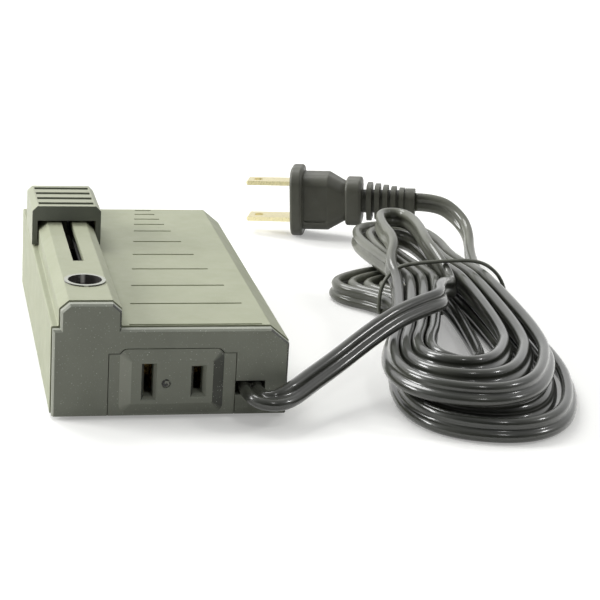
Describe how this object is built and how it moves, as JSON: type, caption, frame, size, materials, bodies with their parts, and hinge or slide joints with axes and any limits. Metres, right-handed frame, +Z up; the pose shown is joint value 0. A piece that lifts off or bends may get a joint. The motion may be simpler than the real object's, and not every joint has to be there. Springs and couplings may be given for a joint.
{
  "type": "foot dimmer",
  "caption": "Floor slide dimmer for a lamp: a tapered box with a thumb slider in a raised rail, an outlet in its front end, and a hanked flat cord with a moulded plug.",
  "frame": {"origin": "centre of the case's footprint, on the floor", "axes": "+Y from the outlet end of the case to its far end, along the slider's travel; +X to the side where the cord lies; +Z up"},
  "size_m": [0.1543, 0.2092, 0.0359],
  "materials": {
    "case_plastic": "fine matte grain",
    "front_plastic": "fine matte grain",
    "knob_plastic": "satin ribs",
    "pad_foam": "matt",
    "zinc_steel": "zinc plated",
    "contact_brass": "bright",
    "board_laminate": "satin",
    "heat_sink_metal": "satin",
    "pot_can": "satin",
    "carbon_track": "matt",
    "lever_plastic": "satin",
    "package_plastic": "satin",
    "choke_core": "enamelled copper over a core",
    "film_case": "dipped",
    "glass_bead": "clear",
    "resistor_body": "lacquered",
    "trimmer_body": "satin",
    "fuse_glass": "clear",
    "lens_plastic": "smoked clear",
    "neon_glass": "clear",
    "bezel_plastic": "satin",
    "cord_vinyl": "glossy",
    "tie_plastic": "satin",
    "plug_vinyl": "satin",
    "wire_black": "satin",
    "wire_white": "satin"
  },
  "bodies": {
    "housing": {"base_pad": "pad_foam", "board_screws": "zinc_steel", "bottom_plate": "case_plastic", "case_screws": "zinc_steel", "choke": "choke_core", "circuit_board": "board_laminate", "clamp_screws": "zinc_steel", "cord_clamp": "zinc_steel", "cord_hank": "cord_vinyl", "cord_lead_in": "cord_vinyl", "cord_tie": "tie_plastic", "diac": "glass_bead", "film_capacitor": "film_case", "front_panel": "front_plastic", "fuse": "fuse_glass", "fuse_clips": "contact_brass", "heat_sink": "heat_sink_metal", "hot_contact": "contact_brass", "indicator_lens": "lens_plastic", "lamp_lead_left": "wire_black", "lamp_lead_right": "wire_white", "neon_lamp": "neon_glass", "neutral_contact": "contact_brass", "outlet_insert": "front_plastic", "plug_blade_hot": "contact_brass", "plug_blade_neutral": "contact_brass", "plug_body": "plug_vinyl", "plug_cord": "cord_vinyl", "pot_screws": "zinc_steel", "power_cord": "cord_vinyl", "resistance_track": "carbon_track", "resistors": "resistor_body", "slide_pot_can": "pot_can", "strain_relief": "plug_vinyl", "top_cover": "case_plastic", "triac": "package_plastic", "triac_screw": "zinc_steel", "trimmer": "trimmer_body", "window_bezel": "bezel_plastic", "wire_hot": "wire_black", "wire_neutral": "wire_white", "wire_outlet": "wire_white"},
    "slider": {"slider_knob": "knob_plastic", "pot_lever": "lever_plastic"}
  },
  "joints": [
    {"name": "knob_slide", "type": "slide", "parent": "housing", "child": "slider", "axis": [0, 1, 0], "range_m": [-0.0474, 0.0126]}
  ]
}
